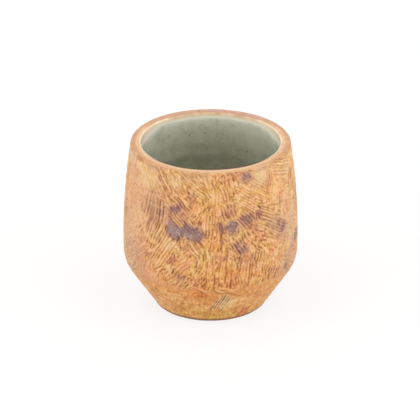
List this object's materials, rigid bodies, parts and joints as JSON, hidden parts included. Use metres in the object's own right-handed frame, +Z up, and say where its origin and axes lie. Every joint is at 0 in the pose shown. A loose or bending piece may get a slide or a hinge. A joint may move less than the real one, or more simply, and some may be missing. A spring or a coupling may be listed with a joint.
{
  "type": "tea cup",
  "caption": "Handleless stoneware yunomi with a bowed wall of combed slip, a low turned corner, a bevel down to its foot, and a grey-green glaze inside.",
  "frame": {"origin": "on the table, under the middle of the foot", "axes": "+Z up along the axis that the cup was thrown on, -Y towards the side that the picture shows"},
  "size_m": [0.0812, 0.0812, 0.08],
  "materials": {
    "stoneware": "bare fired clay, satin",
    "celadon": "grey-green glaze, glossy",
    "combed_slip": "combed straw slip, satin",
    "ochre_wash": "thin ochre wash, satin",
    "iron_slip": "iron slip, matt"
  },
  "bodies": {
    "root": {"stoneware_body": "stoneware", "celadon_lining": "celadon", "combed_slip_coat": "combed_slip", "bevel_wash": "ochre_wash", "iron_patches": "iron_slip"}
  },
  "joints": []
}
